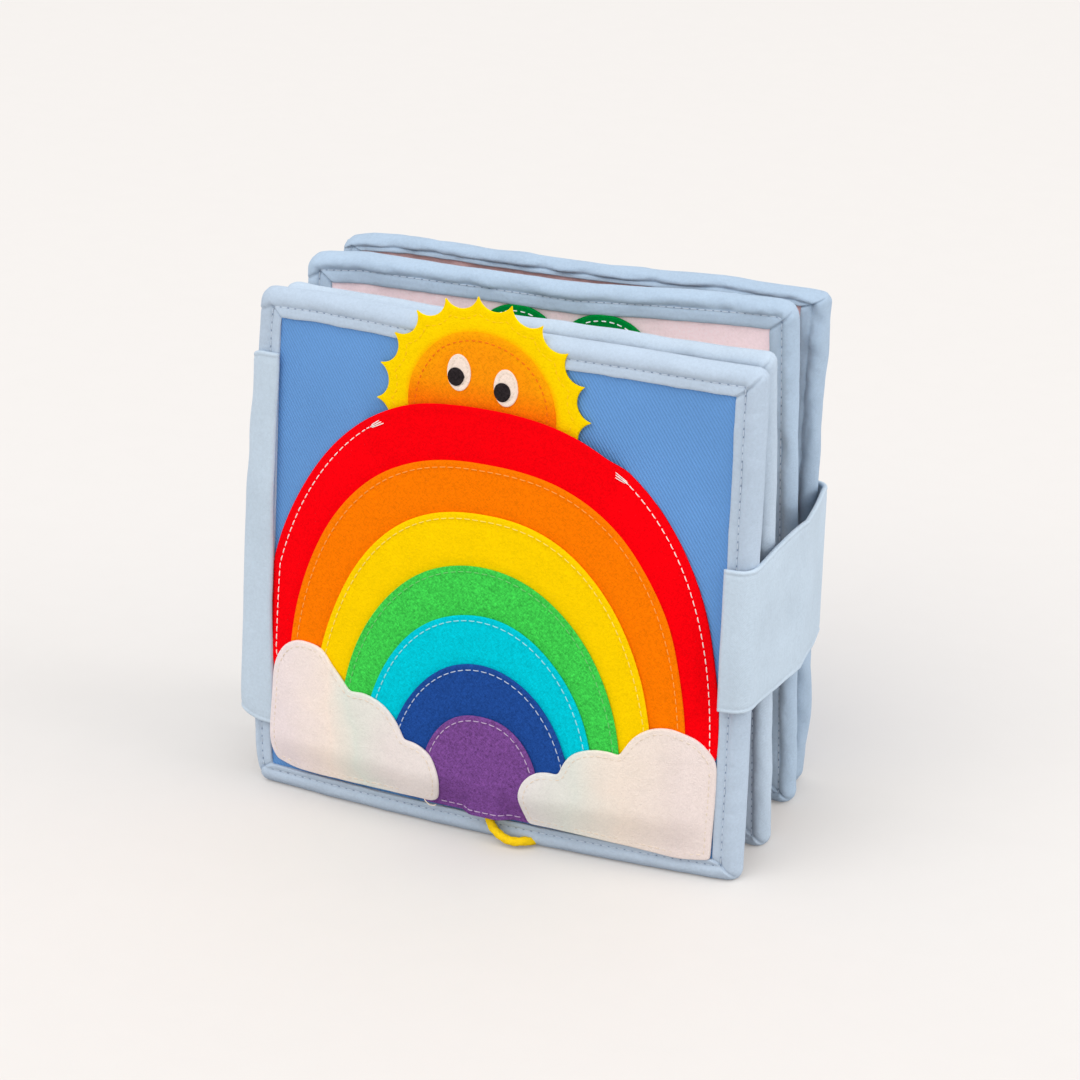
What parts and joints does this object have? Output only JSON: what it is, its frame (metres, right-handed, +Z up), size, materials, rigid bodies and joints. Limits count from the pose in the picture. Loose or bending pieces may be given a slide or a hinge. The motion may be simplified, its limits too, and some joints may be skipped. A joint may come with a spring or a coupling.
{
  "type": "quiet book",
  "caption": "Soft padded cloth book with bound leaves, a felt rainbow pocket on its cover, a sun that slides down behind it, a spine cover and a closing strap.",
  "frame": {"origin": "middle of the second leaf's flattened standing edge, on the surface that the book stands on", "axes": "+Z up, +X along the front cover from the spine to the strap, front cover towards -Y"},
  "size_m": [0.2115, 0.1184, 0.2114],
  "materials": {
    "binding_cloth": "pale blue cotton",
    "blue_twill": "blue cotton twill",
    "cream_cloth": "cream cotton",
    "pink_cloth": "pale pink cotton",
    "rose_cloth": "dusty rose cotton",
    "red_felt": "red felt",
    "orange_felt": "orange felt",
    "yellow_felt": "yellow felt",
    "green_felt": "green felt",
    "cyan_felt": "cyan felt",
    "blue_felt": "dark blue felt",
    "violet_felt": "violet felt",
    "cloud_felt": "off-white felt",
    "face_felt": "warm orange felt",
    "eye_felt": "white felt",
    "black_felt": "black felt",
    "dark_green_felt": "dark green felt",
    "closing_patch": "hook and loop",
    "yellow_cord": "braided cord"
  },
  "bodies": {
    "pages": {"second_leaf_pad": "cream_cloth", "second_leaf_binding": "binding_cloth", "third_leaf_pad": "pink_cloth", "third_leaf_binding": "binding_cloth", "green_bush": "dark_green_felt", "spine_cover": "binding_cloth"},
    "front_cover": {"front_cover_pad": "blue_twill", "front_cover_binding": "binding_cloth", "red_band": "red_felt", "orange_band": "orange_felt", "yellow_band": "yellow_felt", "green_band": "green_felt", "cyan_band": "cyan_felt", "blue_band": "blue_felt", "violet_band": "violet_felt", "left_cloud": "cloud_felt", "right_cloud": "cloud_felt", "loop_patch": "closing_patch", "pull_cord": "yellow_cord"},
    "back_cover": {"back_cover_pad": "rose_cloth", "back_cover_binding": "binding_cloth", "strap": "binding_cloth", "hook_patch": "closing_patch"},
    "sun": {"sun_rays": "yellow_felt", "sun_face": "face_felt", "left_eye": "eye_felt", "right_eye": "eye_felt", "left_pupil": "black_felt", "right_pupil": "black_felt"}
  },
  "joints": [
    {"name": "front_cover_hinge", "type": "hinge", "parent": "pages", "child": "front_cover", "pos_m": [-0.1, -0.03719, 0], "axis": [0, 0, -1], "range_deg": [0, 175], "deforming": ["spine_cover", "strap", "hook_patch"]},
    {"name": "back_cover_hinge", "type": "hinge", "parent": "pages", "child": "back_cover", "pos_m": [-0.10702, 0.04595, 0], "axis": [0, 0, 1], "range_deg": [0, 175], "deforming": ["spine_cover", "strap", "hook_patch"]},
    {"name": "sun_slide", "type": "slide", "parent": "front_cover", "child": "sun", "axis": [0, -0.0523, -0.9986], "range_m": [0, 0.045], "deforming": ["pull_cord"]}
  ]
}
